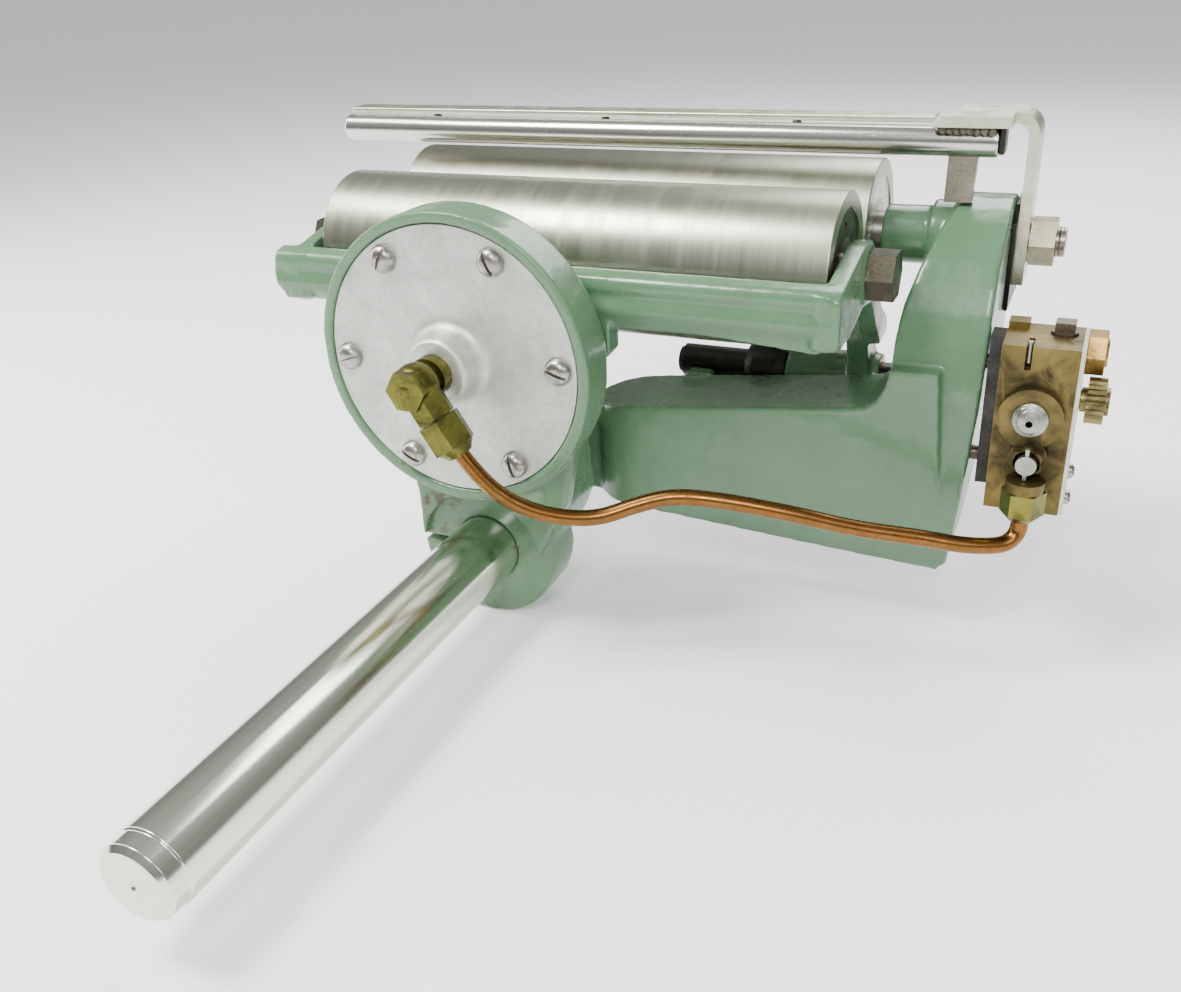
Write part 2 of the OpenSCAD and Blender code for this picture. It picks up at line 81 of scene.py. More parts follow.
# ------------------------------------------------------------------ camera
def make_camera():
    az, el, roll = math.radians(25.56), math.radians(26.61), math.radians(-3.05)
    d = Vector((-math.sin(az) * math.cos(el), math.cos(az) * math.cos(el), -math.sin(el)))
    r = Vector((math.cos(az), math.sin(az), 0))
    dn = d.cross(r)
    c, s = math.cos(roll), math.sin(roll)
    right = r * c - dn * s
    down = r * s + dn * c
    cam = bpy.data.cameras.new("camera")
    cam.sensor_width = 36
    cam.lens = 36 * 1136.31 / 1181
    cam.clip_start, cam.clip_end = 0.01, 60
    o = bpy.data.objects.new("camera", cam)
    bpy.context.scene.collection.objects.link(o)
    up, back = -down, -d
    o.matrix_world = Matrix(((right.x, up.x, back.x, 0.2467), (right.y, up.y, back.y, -0.4011), (right.z, up.z, back.z, 0.2584), (0, 0, 0, 1)))
    bpy.context.scene.camera = o


make_camera()


# --------------------------------------------------------------- materials
class Mat:
    """a small helper around one node material in the object's own coordinates"""

    def __init__(self, name, metallic=0.0, rough=0.5, spec=0.5, coat=0.0, coat_rough=0.1):
        self.m = bpy.data.materials.new(name)
        self.m.use_nodes = True
        self.t = self.m.node_tree
        self.t.nodes.clear()
        self.out = self.t.nodes.new("ShaderNodeOutputMaterial")
        self.b = self.t.nodes.new("ShaderNodeBsdfPrincipled")
        self.t.links.new(self.b.outputs[0], self.out.inputs[0])
        self.b.inputs["Metallic"].default_value = metallic
        self.b.inputs["Roughness"].default_value = rough
        self.b.inputs["Specular IOR Level"].default_value = spec
        self.b.inputs["Coat Weight"].default_value = coat
        self.b.inputs["Coat Roughness"].default_value = coat_rough
        self.tc = self.t.nodes.new("ShaderNodeTexCoord").outputs["Object"]
        self.last_normal = None

    def link(self, a, b):
        self.t.links.new(a, b)

    def vec(self, scale, rot=(0, 0, 0), loc=(0, 0, 0)):
        n = self.t.nodes.new("ShaderNodeMapping")
        n.inputs["Scale"].default_value = scale
        n.inputs["Rotation"].default_value = rot
        n.inputs["Location"].default_value = loc
        self.link(self.tc, n.inputs["Vector"])
        return n.outputs[0]

    def noise(self, scale, detail=4.0, rough=0.55, vec=None, dist=0.0):
        n = self.t.nodes.new("ShaderNodeTexNoise")
        n.inputs["Scale"].default_value = scale
        n.inputs["Detail"].default_value = detail
        n.inputs["Roughness"].default_value = rough
        n.inputs["Distortion"].default_value = dist
        self.link(vec if vec is not None else self.tc, n.inputs["Vector"])
        return n.outputs["Fac"]

    def voronoi(self, scale, vec=None, feature="F1", rand=1.0):
        n = self.t.nodes.new("ShaderNodeTexVoronoi")
        n.feature = feature
        n.inputs["Scale"].default_value = scale
        n.inputs["Randomness"].default_value = rand
        self.link(vec if vec is not None else self.tc, n.inputs["Vector"])
        return n.outputs["Distance"]

    def ramp(self, fac, stops, interp="LINEAR"):
        n = self.t.nodes.new("ShaderNodeValToRGB")
        n.color_ramp.interpolation = interp
        e = n.color_ramp.elements
        while len(e) > 1:
            e.remove(e[-1])
        for i, (p, c) in enumerate(stops):
            el = e[0] if i == 0 else e.new(p)
            el.position = p
            if isinstance(c, (int, float)):
                c = (c, c, c)
            el.color = (c[0], c[1], c[2], 1)
        self.link(fac, n.inputs[0])
        return n.outputs["Color"]

    def mix(self, fac, a, b, mode="MIX"):
        n = self.t.nodes.new("ShaderNodeMix")
        n.data_type = "RGBA"
        n.blend_type = mode
        for i, v in ((0, fac), (6, a), (7, b)):
            if isinstance(v, (int, float)):
                n.inputs[i].default_value = v if i == 0 else (v, v, v, 1)
            elif isinstance(v, tuple):
                n.inputs[i].default_value = (v[0], v[1], v[2], 1)
            else:
                self.link(v, n.inputs[i])
        return n.outputs[2]

    def math(self, op, a, b=None, clamp=False):
        n = self.t.nodes.new("ShaderNodeMath")
        n.operation = op
        n.use_clamp = clamp
        for i, v in ((0, a), (1, b)):
            if v is None:
                continue
            if isinstance(v, (int, float)):
                n.inputs[i].default_value = v
            else:
                self.link(v, n.inputs[i])
        return n.outputs[0]

    def pointy(self, lo, hi):
        g = self.t.nodes.new("ShaderNodeNewGeometry")
        n = self.t.nodes.new("ShaderNodeMapRange")
        n.inputs["From Min"].default_value = lo
        n.inputs["From Max"].default_value = hi
        self.link(g.outputs["Pointiness"], n.inputs["Value"])
        return n.outputs[0]

    def zone(self, centre, radius, soft):
        """1 inside a sphere, falling to 0 over soft metres"""
        s = self.t.nodes.new("ShaderNodeVectorMath")
        s.operation = "DISTANCE"
        s.inputs[1].default_value = centre
        self.link(self.tc, s.inputs[0])
        n = self.t.nodes.new("ShaderNodeMapRange")
        n.inputs["From Min"].default_value = radius + soft
        n.inputs["From Max"].default_value = radius
        self.link(s.outputs["Value"], n.inputs["Value"])
        return n.outputs[0]

    def bump(self, height, strength, distance):
        n = self.t.nodes.new("ShaderNodeBump")
        n.inputs["Strength"].default_value = strength
        n.inputs["Distance"].default_value = distance
        self.link(height, n.inputs["Height"])
        if self.last_normal is not None:
            self.link(self.last_normal, n.inputs["Normal"])
        self.last_normal = n.outputs[0]
        self.link(self.last_normal, self.b.inputs["Normal"])

    def colour(self, c):
        self.link(c, self.b.inputs["Base Color"])

    def rough(self, r):
        self.link(r, self.b.inputs["Roughness"])

    def metal(self, r):
        self.link(r, self.b.inputs["Metallic"])


def enamel():
    a = Mat("green_enamel_paint", 0.0, 0.3, 0.40, 0.25, 0.05)
    big = a.noise(14, 5, 0.6)
    fine = a.noise(160, 4, 0.6)
    c = a.ramp(big, [(0.28, (0.070, 0.150, 0.076)), (0.5, (0.090, 0.182, 0.094)), (0.72, (0.112, 0.215, 0.115))])
    c = a.mix(a.math("MULTIPLY", fine, 0.22), c, (0.045, 0.100, 0.050))
    # painted shade: the inner (concave) corners are darkened, made patchy by noise
    corner_shade = a.pointy(0.47, 0.40)
    darkening = a.math("MULTIPLY", corner_shade, a.ramp(a.noise(60, 5, 0.65), [(0.35, 0.15), (0.7, 1.0)]))
    c = a.mix(a.math("MULTIPLY", darkening, 0.75), c, (0.045, 0.060, 0.038))
    # chips: on sharp corners, and a few anywhere
    edge = a.pointy(0.545, 0.60)
    chipn = a.ramp(a.noise(210, 6, 0.7, dist=0.4), [(0.56, 0.0), (0.60, 1.0)])
    chips = a.math("MULTIPLY", edge, chipn)
    neck = a.zone(tuple(cf(-31, 6, -78)), 0.012, 0.016)
    low = a.zone(tuple(cf(-10, 18, -128)), 0.010, 0.014)
    wear = a.math("MAXIMUM", neck, low)
    worn = a.math("MULTIPLY", wear, a.ramp(a.noise(120, 6, 0.7, dist=0.5), [(0.50, 0.0), (0.57, 1.0)]))
    few = a.ramp(a.noise(95, 3, 0.5), [(0.735, 0.0), (0.75, 1.0)])
    chips = a.math("MAXIMUM", a.math("MAXIMUM", chips, a.math("MULTIPLY", few, 0.8)), worn)
    rust = a.ramp(a.noise(420, 5, 0.65), [(0.3, (0.035, 0.022, 0.014)), (0.6, (0.095, 0.055, 0.030)), (0.8, (0.23, 0.21, 0.18))])
    c = a.mix(chips, c, rust)
    a.colour(c)
    a.rough(a.mix(chips, a.ramp(a.noise(45, 4, 0.6), [(0.3, 0.20), (0.7, 0.38)]), 0.75))
    a.bump(a.noise(85, 3, 0.5), 0.32, 0.0011)
    a.bump(a.noise(420, 3, 0.5), 0.20, 0.00035)
    a.bump(a.math("SUBTRACT", 1.0, chips), 0.5, 0.0002)
    return a.m


def steel(name, col, rough=(0.22, 0.34), axis=None, grain=0.25, spots=0.0, spot_col=(0.10, 0.085, 0.06), mottle=0.15, patina=None, bump=0.00006, metallic=1.0, fine=2600):
    """metal with turning grain along an axis ('x' or 'y'), tone variation and specks"""
    a = Mat(name, metallic, sum(rough) / 2, 0.5)
    if axis == "x":
        v = a.vec((fine, 6, 6))
        streak = a.noise(1.0, 3, 0.6, v)
        wide = a.noise(1.0, 3, 0.6, a.vec((260, 3, 3)))
    elif axis == "y":
        v = a.vec((6, fine, 6))
        streak = a.noise(1.0, 3, 0.6, v)
        wide = a.noise(1.0, 3, 0.6, a.vec((3, 260, 3)))
    elif axis == "long_y":
        streak = a.noise(1.0, 4, 0.6, a.vec((520, 5, 520)))
        wide = a.noise(1.0, 3, 0.6, a.vec((90, 2.5, 90)))
    elif axis == "long_x":
        streak = a.noise(1.0, 4, 0.6, a.vec((5, 900, 900)))
        wide = a.noise(1.0, 3, 0.6, a.vec((2.5, 130, 130)))
    else:
        streak = a.noise(900, 4, 0.6)
        wide = a.noise(130, 5, 0.65)
    dark = tuple(x * (1 - grain) for x in col)
    light = tuple(min(1, x * (1 + grain * 0.35)) for x in col)
    c = a.ramp(streak, [(0.3, dark), (0.55, col), (0.75, light)])
    c = a.mix(a.math("MULTIPLY", a.ramp(wide, [(0.35, 0.0), (0.7, 1.0)]), mottle), c, tuple(x * 0.45 for x in col))
    if patina is not None:
        pm = a.ramp(a.noise(48, 6, 0.68, dist=0.6), [(0.46, 0.0), (0.66, 1.0)])
        c = a.mix(a.math("MULTIPLY", pm, patina[1]), c, patina[0])
    sp = None
    if spots > 0:
        sp = a.math("MULTIPLY", a.ramp(a.noise(330, 5, 0.7), [(0.64, 0.0), (0.70, 1.0)]), spots)
        c = a.mix(sp, c, spot_col)
    a.colour(c)
    r = a.ramp(wide, [(0.3, rough[0]), (0.7, rough[1])])
    if sp is not None:
        r = a.mix(sp, r, 0.7)
    a.rough(r)
    a.bump(streak, 0.35, bump)
    return a


def brass(name, col, dark, green, rough=(0.28, 0.5), k=1.0, metallic=1.0, darkening=None):
    """oxidised brass: bright where it is rubbed, brown and green elsewhere"""
    a = Mat(name, metallic, 0.4, 0.5)
    n1 = a.noise(70 * k, 6, 0.68, dist=0.7)
    n2 = a.noise(150 * k, 6, 0.7)
    c = a.ramp(n1, [(0.34, dark), (0.52, col), (0.70, tuple(min(1, x * 1.35) for x in col))])
    c = a.mix(a.ramp(n2, [(0.56, 0.0), (0.72, 0.65)]), c, green)
    c = a.mix(a.ramp(a.noise(520, 4, 0.7), [(0.62, 0.0), (0.74, 0.75)]), c, tuple(x * 0.35 for x in dark))
    edge = a.pointy(0.55, 0.64)
    c = a.mix(a.math("MULTIPLY", edge, 0.6), c, tuple(min(1, x * 1.9) for x in col))
    # darkens the colour towards the dark tone inside spheres around the given points, made patchy by noise
    for spot, radius, soft, amount in darkening or ():
        z = a.math("MULTIPLY", a.zone(tuple(spot), radius, soft), a.ramp(a.noise(110, 5, 0.65), [(0.3, 0.45), (0.65, 1.0)]))
        c = a.mix(a.math("MULTIPLY", z, amount), c, tuple(x * 0.75 for x in dark))
    a.colour(c)
    a.rough(a.ramp(n1, [(0.3, rough[1]), (0.7, rough[0])]))
    a.bump(a.noise(700, 4, 0.65), 0.35, 0.00010)
    a.bump(n2, 0.25, 0.00025)
    return a


def cast_alu():
    a = Mat("cast_aluminium_cover", 0.75, 0.46, 0.5)
    n1 = a.noise(55, 6, 0.7)
    n2 = a.noise(330, 5, 0.7)
    n3 = a.noise(1500, 3, 0.6)
    c = a.ramp(n1, [(0.30, (0.40, 0.41, 0.375)), (0.5, (0.52, 0.53, 0.485)), (0.7, (0.62, 0.63, 0.58))])
    c = a.mix(a.ramp(n2, [(0.50, 0.0), (0.72, 0.40)]), c, (0.30, 0.30, 0.285))
    c = a.mix(a.ramp(n3, [(0.55, 0.0), (0.7, 0.30)]), c, (0.85, 0.85, 0.84))
    # painted shade: the concave corners of the cover are darkened
    c = a.mix(a.math("MULTIPLY", a.pointy(0.47, 0.40), 0.7), c, (0.10, 0.095, 0.08))
    a.colour(c)
    a.rough(a.ramp(n2, [(0.3, 0.40), (0.7, 0.56)]))
    a.bump(n3, 0.30, 0.00012)
    a.bump(a.noise(420, 4, 0.6), 0.30, 0.00018)
    return a.m


def rubber():
    a = Mat("diaphragm_rubber", 0.0, 0.7)
    a.colour(a.ramp(a.noise(300, 4), [(0.3, (0.012, 0.012, 0.012)), (0.7, (0.035, 0.035, 0.033))]))
    a.bump(a.noise(900, 3), 0.3, 0.0001)
    return a.m


MATS = {}
MATS["green_enamel"] = enamel()
MATS["ground_shaft"] = steel("ground_shaft_steel", (0.74, 0.75, 0.645), (0.13, 0.24), "long_y", 0.12, 0.25, mottle=0.16).m
MATS["rod_polished"] = steel("guard_rod_steel", (0.60, 0.59, 0.55), (0.16, 0.28), "long_x", 0.18, 0.25, mottle=0.2).m
MATS["black_steel"] = steel("black_oxide_steel", (0.045, 0.043, 0.040), (0.32, 0.5), None, 0.3, 0.25, (0.10, 0.06, 0.035), 0.4).m
MATS["dark_hardware"] = steel("rusty_hardware", (0.16, 0.135, 0.105), (0.35, 0.55), None, 0.35, 0.5, (0.11, 0.055, 0.025), 0.45).m
MATS["cover_aluminium"] = cast_alu()
MATS["screw_steel"] = steel("tarnished_screw_steel", (0.40, 0.385, 0.34), (0.24, 0.42), None, 0.25, 0.35, (0.09, 0.07, 0.045), 0.5).m
MATS["diaphragm_rubber"] = rubber()
MATS["bronze"] = brass("bush_bronze", (0.45, 0.30, 0.14), (0.2, 0.12, 0.05), (0.25, 0.22, 0.10)).m
MATS["plate_aluminium"] = steel("plate_aluminium", (0.55, 0.55, 0.56), (0.35, 0.5), None, 0.15).m
MATS["rod_steel"] = steel("rod_steel", (0.5, 0.5, 0.49), (0.2, 0.3), "y", 0.2).m
MATS["fitting_brass"] = brass("olive_brass", (0.115, 0.108, 0.024), (0.040, 0.038, 0.013), (0.062, 0.072, 0.024), (0.24, 0.42)).m
MATS["copper"] = steel("drawn_copper", (0.235, 0.105, 0.029), (0.22, 0.36), None, 0.18, 0.5, (0.05, 0.03, 0.012), 0.55, ((0.10, 0.060, 0.018), 0.6)).m
MATS["valve_brass"] = brass("oxidised_valve_brass", (0.125, 0.092, 0.028), (0.038, 0.031, 0.013), (0.080, 0.082, 0.028), (0.30, 0.55), 1.3, 0.8, ((cf(228, 58, -36), 0.008, 0.012, 0.85), (cf(220, 60, -6), 0.004, 0.012, 0.6), (cf(236, 60, -58), 0.003, 0.014, 0.7))).m
MATS["valve_plate_steel"] = steel("plate_bright_steel", (0.55, 0.54, 0.44), (0.24, 0.4), None, 0.2, 0.3, (0.16, 0.12, 0.05), 0.3).m
MATS["port_steel"] = steel("port_bright_steel", (0.36, 0.37, 0.31), (0.30, 0.46), None, 0.3, 0.5, (0.09, 0.075, 0.03), 0.45).m
MATS["gland_brass"] = brass("gland_dark_brass", (0.075, 0.052, 0.018), (0.025, 0.020, 0.009), (0.055, 0.052, 0.018), (0.40, 0.62), 1.5, 0.7).m
MATS["copper_plug"] = brass("copper_hex", (0.235, 0.140, 0.040), (0.10, 0.065, 0.022), (0.14, 0.125, 0.042), (0.28, 0.45), 1.4).m
MATS["knob_brass"] = brass("dirty_knob_brass", (0.21, 0.17, 0.07), (0.07, 0.06, 0.03), (0.14, 0.14, 0.06), (0.32, 0.55), 1.4).m
MATS["roller_steel"] = steel("turned_roller_steel", (0.375, 0.385, 0.30), (0.29, 0.38), "x", 0.16, 0.0, mottle=0.10, bump=0.00005).m
# painted shade: the front roller's head face is given a dark colour for the shadow it sits in; the rear head keeps
# light faced steel
MATS["front_head_steel"] = steel("painted_shade_head_steel", (0.09, 0.08, 0.065), (0.3, 0.5), None, 0.3, 0.4, mottle=0.4).m
MATS["rear_head_steel"] = steel("faced_head_steel", (0.58, 0.57, 0.52), (0.28, 0.42), None, 0.2, 0.3, mottle=0.3).m
MATS["bearing_steel"] = steel("axle_steel", (0.34, 0.32, 0.29), (0.25, 0.4), "x", 0.25, 0.4).m
MATS["brown_nut"] = steel("brown_nut_steel", (0.075, 0.070, 0.050), (0.30, 0.5), None, 0.4, 0.5, (0.13, 0.085, 0.045), 0.4).m
MATS["zinc_nut"] = steel("yellowed_zinc", (0.40, 0.37, 0.27), (0.26, 0.42), None, 0.25, 0.5, (0.12, 0.09, 0.05), 0.5, ((0.30, 0.24, 0.13), 0.6)).m
MATS["bracket_steel"] = steel("worn_plated_bar", (0.72, 0.73, 0.58), (0.26, 0.42), None, 0.16, 0.45, (0.26, 0.21, 0.12), 0.28, ((0.50, 0.47, 0.34), 0.5)).m
MATS["lug_steel"] = steel("dull_lug_steel", (0.27, 0.25, 0.19), (0.3, 0.45), None, 0.3, 0.5, mottle=0.4).m
MATS["weld_steel"] = steel("weld_bead_steel", (0.16, 0.145, 0.115), (0.28, 0.5), None, 0.5, 0.6, (0.05, 0.035, 0.02), 0.5).m

SLOT_MAT = dict(MATS)


def assign(obj, mat):
    obj.data.materials.clear()
    obj.data.materials.append(mat)


def new_obj(name, mesh, body, mat, replaces=()):
    o = bpy.data.objects.new(name, mesh)
    bpy.context.scene.collection.objects.link(o)
    assign(o, mat)
    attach(o, body)
    if replaces:
        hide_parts(*replaces)
    return o


# --------------------------------------------------- carried-over CAD nodes
for n, o in N.items():
    m = SLOT_MAT[SLOT[n]]
    if n == "guard_rod":
        m = MATS["rod_polished"]
    if n == "stem_gland":
        m = MATS["gland_brass"]
    assign(o, m)


def soften(node, width=0.0004, seg=2, angle=32):
    """bevels the real edges of a machined node with modifiers"""
    o = N[node]
    if "custom_normal" in o.data.attributes:
        o.data.attributes.remove(o.data.attributes["custom_normal"])
    for p in o.data.polygons:
        p.use_smooth = True
    w = o.modifiers.new("weld", "WELD")
    w.merge_threshold = 0.000002
    d = o.modifiers.new("planar", "DECIMATE")
    d.decimate_type = "DISSOLVE"
    d.angle_limit = math.radians(0.4)
    b = o.modifiers.new("edge", "BEVEL")
    b.width = width
    b.segments = seg
    b.limit_method = "ANGLE"
    b.angle_limit = math.radians(angle)
    b.harden_normals = False
    wn = o.modifiers.new("normals", "WEIGHTED_NORMAL")
    wn.keep_sharp = False
    wn.weight = 60


CAST = ("mount_head", "main_frame", "yoke")
SPECIAL = {"guard_weld", "copper_pipe", "return_spring", "valve_port"}
WIDTH = {
    "mounting_shaft": 0.0003, "chamber_cover": 0.0007, "cover_screws": 0.00025, "front_roller_tube": 0.0006, "rear_roller_tube": 0.0006,
    "guard_bracket": 0.0007, "guard_strip": 0.0006, "guard_rod": 0.0008, "valve_body": 0.0006, "valve_side_plate": 0.0003,
    "elbow_fitting": 0.0006, "elbow_nut": 0.0005, "pipe_nut": 0.0005, "rear_axle_nut": 0.0006, "front_axle_nuts": 0.0009,
    "guard_stop_lug": 0.0005, "valve_knob": 0.0002, "valve_hex_plug": 0.0005,
}
for n in N:
    if n in CAST or n in SPECIAL:
        continue
    soften(n, WIDTH.get(n, 0.0003))


def evaluated_mesh(obj, name):
    bpy.context.view_layer.update()
    dg = bpy.context.evaluated_depsgraph_get()
    return bpy.data.meshes.new_from_object(obj.evaluated_get(dg), depsgraph=dg)


def from_node(node, voxel, smooth, extra=None):
    """a copy of a CAD node's mesh, remeshed and smoothed so its inner and outer corners are cast fillets"""
    me = N[node].data.copy()
    if "custom_normal" in me.attributes:
        me.attributes.remove(me.attributes["custom_normal"])
    tmp = bpy.data.objects.new("tmp_" + node, me)
    bpy.context.scene.collection.objects.link(tmp)
    r = tmp.modifiers.new("r", "REMESH")
    r.mode = "VOXEL"
    r.voxel_size = voxel
    s = tmp.modifiers.new("s", "SMOOTH")
    s.factor = 0.5
    s.iterations = smooth
    out = evaluated_mesh(tmp, node)
    bpy.data.objects.remove(tmp)
    for p in out.polygons:
        p.use_smooth = True
    if extra:
        extra(out)
    out.name = node + "_cast"
    return out


def ripple(amount, scale):
    def go(me):
        normals = [v.normal.copy() for v in me.vertices]
        for v, n in zip(me.vertices, normals):
            v.co += n * (mnoise.noise(v.co * scale) * amount)
    return go


VOX = 0.0008
for node, it in (("mount_head", 18), ("main_frame", 18), ("yoke", 11)):
    me = from_node(node, VOX, it, ripple(0.00012, 130))
    new_obj(node + "_casting", me, BODY[node], MATS["green_enamel"], (node,))

new_obj("guard_weld_bead", from_node("guard_weld", 0.00045, 4, ripple(0.0004, 700)), BODY["guard_weld"], MATS["weld_steel"], ("guard_weld",))


# the return spring: a smooth-shaded copy of the CAD coil, carried on the frame body
lo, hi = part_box("return_spring")
me = N["return_spring"].data.copy()
if "custom_normal" in me.attributes:
    me.attributes.remove(me.attributes["custom_normal"])
for p in me.polygons:
    p.use_smooth = True
spring = new_obj("return_spring_coil", me, "frame", MATS["rod_steel"], ("return_spring",))
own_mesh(spring)


# ------------------------------------------------------------------- lathe
def lathe(name, profile, origin, axis, body, mat, seg=96, replaces=(), slot=None, sharp=35):
    """turns (radius, height) pairs about an axis; heights run along it, all in metres"""
    axis = Vector(axis).normalized()
    u = axis.orthogonal().normalized()
    w = axis.cross(u)
    bm = bmesh.new()
    rings = []
    for r, h in profile:
        if r < 1e-7:
            rings.append([bm.verts.new(origin + axis * h)])
        else:
            rings.append([bm.verts.new(origin + axis * h + (u * math.cos(2 * math.pi * i / seg) + w * math.sin(2 * math.pi * i / seg)) * r) for i in range(seg)])
    for a, b in zip(rings, rings[1:]):
        for i in range(seg):
            j = (i + 1) % seg
            if len(a) == 1 and len(b) == 1:
                continue
            if len(a) == 1:
                bm.faces.new((a[0], b[i], b[j]))
            elif len(b) == 1:
                bm.faces.new((a[i], b[0], a[j]))
            else:
                bm.faces.new((a[i], b[i], b[j], a[j]))
    bmesh.ops.recalc_face_normals(bm, faces=bm.faces)
    for e in bm.edges:
        if len(e.link_faces) == 2 and e.calc_face_angle(0) > math.radians(sharp):
            e.smooth = False
    for f in bm.faces:
        f.smooth = True
    me = bpy.data.meshes.new(name)
    bm.to_mesh(me)
    bm.free()
    return new_obj(name, me, body, mat, replaces)


def thread(name, origin, axis, r, length, pitch, depth, body, mat, bore=0.0, seg=56, replaces=(), nose=0.0, nose_r=0.0):
    """a closed screw-threaded stud: a grid over angle and height whose radius follows the helix"""
    axis = Vector(axis).normalized()
    u = axis.orthogonal().normalized()
    w = axis.cross(u)
    per = 8
    rows = int(length / pitch * per)
    bm = bmesh.new()

    def ring(h, rad):
        return [bm.verts.new(origin + axis * h + (u * math.cos(2 * math.pi * i / seg) + w * math.sin(2 * math.pi * i / seg)) * (rad(i) if callable(rad) else rad)) for i in range(seg)]

    rings = []
    start = ring(0, bore if bore > 0 else 0.0001)
    rings.append(start)
    for k in range(rows + 1):
        h = length * k / rows
        taper = min(1.0, (length - h) / (pitch * 0.8) + 0.0)

        def rad(i, h=h, taper=taper):
            ph = (h / pitch - i / seg) % 1.0
            tri = abs(ph * 2 - 1)
            tri = min(1, max(0, (tri - 0.12) / 0.76))
            rr = r
            if nose > 0 and h > length - nose:
                q = (h - (length - nose)) / nose
                rr = nose_r + (r - nose_r) * math.sqrt(max(0.0, 1 - q * q))
            return rr - depth * (1 - tri * taper)
        rings.append(ring(h, rad))
    rings.append(ring(length + 0.0002, bore if bore > 0 else 0.0001))
    for a, b in zip(rings, rings[1:]):
        for i in range(seg):
            j = (i + 1) % seg
            bm.faces.new((a[i], b[i], b[j], a[j]))
    if bore > 0:
        a, b = rings[-1], rings[0]
        for i in range(seg):
            j = (i + 1) % seg
            bm.faces.new((a[i], b[i], b[j], a[j]))
    else:
        bm.faces.new(rings[0])
        bm.faces.new(list(reversed(rings[-1])))
    bmesh.ops.recalc_face_normals(bm, faces=bm.faces)
    for f in bm.faces:
        f.smooth = False
    me = bpy.data.meshes.new(name)
    bm.to_mesh(me)
    bm.free()
    return new_obj(name, me, body, mat, replaces)


# ------------------------------------------------------------- copper pipe
ROUTE = [[6.9, -27, -11], [12.7, -27, -20.4], [20, -26, -32], [29, -23, -44], [40, -18, -53], [54, -12, -58], [68, -5, -59], [82, 3, -55], [96, 9, -52], [114, 14, -53], [140, 20, -57], [168, 27, -63], [192, 33, -66], [207, 38, -69], [218, 44, -71], [225, 49, -71], [228.6, 52.4, -67], [229, 53, -60], [229, 53, -50]]


def cr(a, b, c, d, t):
    return 0.5 * ((2 * b) + (c - a) * t + (2 * a - 5 * b + 4 * c - d) * t * t + (3 * b - a - 3 * c + d) * t * t * t)


def pipe():
    pts = [cf(*p) for p in ROUTE]
    path = []
    L = len(pts)
    for i in range(L - 1):
        q = [pts[max(0, min(L - 1, i + k))] for k in (-1, 0, 1, 2)]
        for s in range(8):
            path.append(cr(q[0], q[1], q[2], q[3], s / 8))
    path.append(pts[-1])
    for _ in range(3):
        path = [path[0]] + [(path[i - 1] + path[i] * 2 + path[i + 1]) / 4 for i in range(1, len(path) - 1)] + [path[-1]]
    seg, r = 32, 0.00345
    bm = bmesh.new()
    prev = Vector((0, 1, 0.01))
    rings = []
    for i, p in enumerate(path):
        t = (path[min(len(path) - 1, i + 1)] - path[max(0, i - 1)]).normalized()
        n = (prev - t * prev.dot(t)).normalized()
        prev = n
        b = t.cross(n)
        rr = r * (1 + 0.010 * mnoise.noise(p * 60))
        rings.append([bm.verts.new(p + (n * math.cos(2 * math.pi * k / seg) + b * math.sin(2 * math.pi * k / seg)) * rr) for k in range(seg)])
    for a, b in zip(rings, rings[1:]):
        for k in range(seg):
            j = (k + 1) % seg
            bm.faces.new((a[k], b[k], b[j], a[j]))
    bm.faces.new(rings[0])
    bm.faces.new(list(reversed(rings[-1])))
    bmesh.ops.recalc_face_normals(bm, faces=bm.faces)
    for f in bm.faces:
        f.smooth = len(f.verts) == 4
    me = bpy.data.meshes.new("copper_pipe_tube")
    bm.to_mesh(me)
    bm.free()
    new_obj("copper_pipe_tube", me, BODY["copper_pipe"], MATS["copper"], ("copper_pipe",))


pipe()

# ---------------------------------------------------- threads and end faces
VY0 = 62.0
thread("port_thread", cf(227.5, VY0 + 2, -20), (0, -1, 0), 0.0069, 0.0108, 0.0015, 0.0009, "frame", MATS["port_steel"], bore=0.0014, seg=72, replaces=("valve_port",), nose=0.0048, nose_r=0.0034)

lo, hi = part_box("front_axle")
thread("front_axle_thread", Vector((hi.x - 0.006, cf(0, 74, 0).y, cf(0, 0, 29.3).z)), (1, 0, 0), 0.00655, 0.0059, 0.0016, 0.0006, BODY["front_axle"], MATS["dark_hardware"])
lo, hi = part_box("rear_axle")
thread("rear_axle_thread", Vector((hi.x - 0.0062, cf(0, 143.8, 0).y, cf(0, 0, 29.3).z)), (1, 0, 0), 0.00655, 0.0061, 0.0016, 0.0006, BODY["rear_axle"], MATS["dark_hardware"])


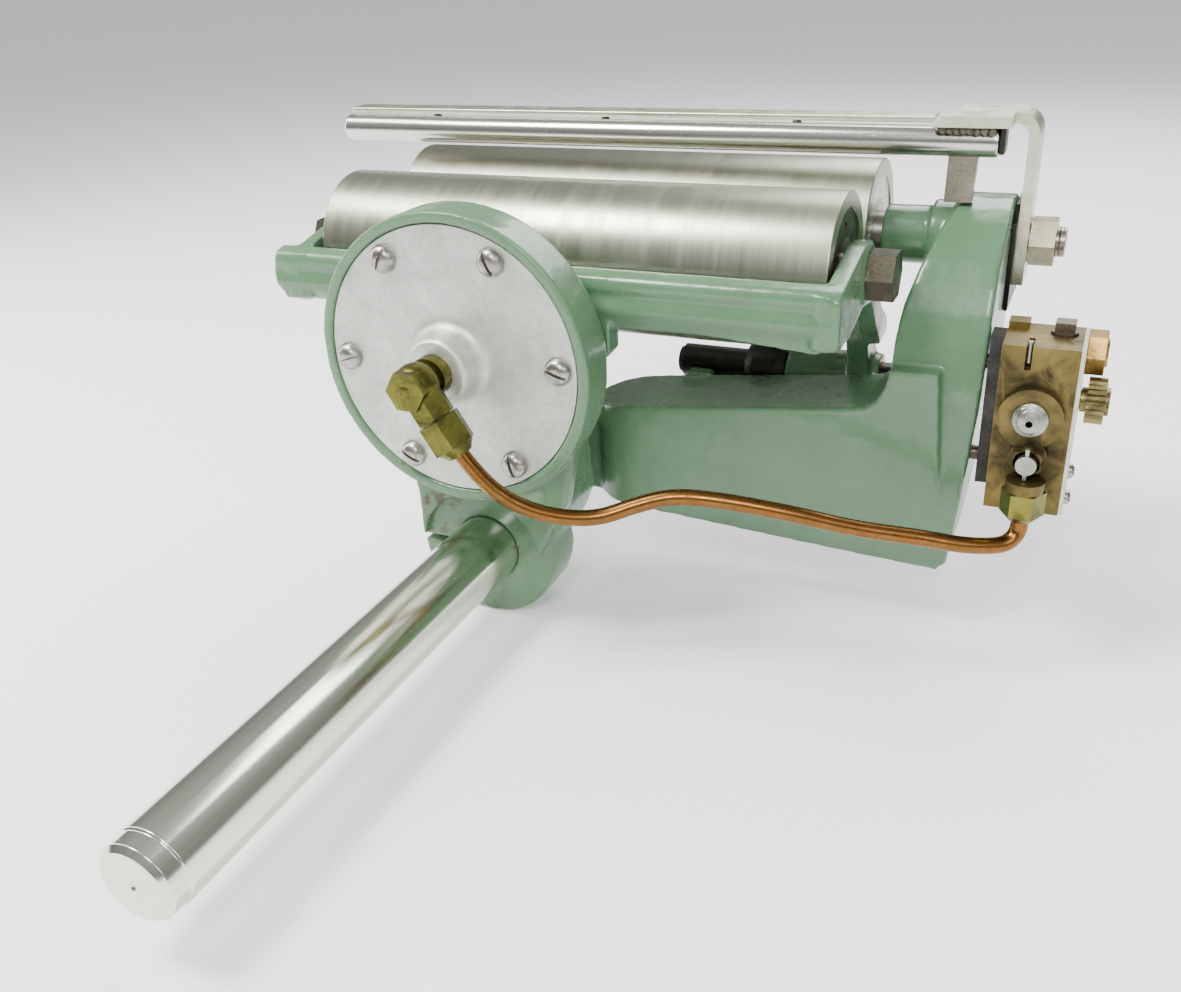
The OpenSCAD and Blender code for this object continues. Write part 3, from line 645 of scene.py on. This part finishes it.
# -------------------------------------------------------- floor and lights
def floor():
    z = cad_low[2] - 0.0003
    bm = bmesh.new()
    n = 24
    size = 16.0
    grid = [[bm.verts.new(((i / n - 0.5) * size, (j / n - 0.5) * size, z)) for j in range(n + 1)] for i in range(n + 1)]
    for i in range(n):
        for j in range(n):
            bm.faces.new((grid[i][j], grid[i + 1][j], grid[i + 1][j + 1], grid[i][j + 1]))
    me = bpy.data.meshes.new("floor")
    bm.to_mesh(me)
    bm.free()
    o = bpy.data.objects.new("floor", me)
    bpy.context.scene.collection.objects.link(o)
    a = Mat("floor_white", 0.0, 0.9, 0.0)
    a.colour(a.ramp(a.noise(3, 2), [(0.0, 0.92), (1.0, 0.94)]))
    a.b.inputs["Emission Color"].default_value = (1, 1, 1, 1)
    a.b.inputs["Emission Strength"].default_value = 0.24
    assign(o, a.m)


floor()


def area(name, loc, target, size, power, col=(1, 1, 1), sy=None):
    l = bpy.data.lights.new(name, "AREA")
    l.shape = "RECTANGLE"
    l.size = size
    l.size_y = sy or size
    l.energy = power
    l.color = col
    o = bpy.data.objects.new(name, l)
    bpy.context.scene.collection.objects.link(o)
    o.location = loc
    o.rotation_euler = (Vector(target) - Vector(loc)).to_track_quat("-Z", "Y").to_euler()


area("key", (-0.45, -0.35, 1.15), (0.08, 0.05, 0.05), 0.40, 24.0, (1, 0.995, 0.98), 0.40)
area("fill", (1.10, -0.70, 0.75), (0.1, 0.05, 0.03), 0.6, 5.0, (0.97, 0.99, 1))
area("front", (0.35, -1.0, 0.95), (0.08, 0.05, 0.04), 0.35, 11.0)
area("back", (0.25, 1.05, 1.05), (0.05, 0.05, 0.05), 0.9, 20.0)
area("strip", (-0.95, -0.05, 0.55), (0.0, -0.05, 0.03), 0.25, 12.0, (1, 1, 1), 1.2)

world = bpy.data.worlds.new("studio")
bpy.context.scene.world = world
world.use_nodes = True
wt = world.node_tree
wt.nodes.clear()
wo = wt.nodes.new("ShaderNodeOutputWorld")
wb = wt.nodes.new("ShaderNodeBackground")
wb.inputs[1].default_value = 0.50
wc = wt.nodes.new("ShaderNodeTexCoord")
ws = wt.nodes.new("ShaderNodeSeparateXYZ")
wr = wt.nodes.new("ShaderNodeValToRGB")
wr.color_ramp.elements[0].position = 0.0
wr.color_ramp.elements[0].color = (0.42, 0.43, 0.42, 1)
wr.color_ramp.elements[1].position = 0.75
wr.color_ramp.elements[1].color = (1, 1, 1, 1)
e = wr.color_ramp.elements.new(0.28)
e.color = (0.62, 0.63, 0.62, 1)
wt.links.new(wc.outputs["Generated"], ws.inputs[0])
wt.links.new(ws.outputs["Z"], wr.inputs[0])
wt.links.new(wr.outputs[0], wb.inputs[0])
wt.links.new(wb.outputs[0], wo.inputs[0])
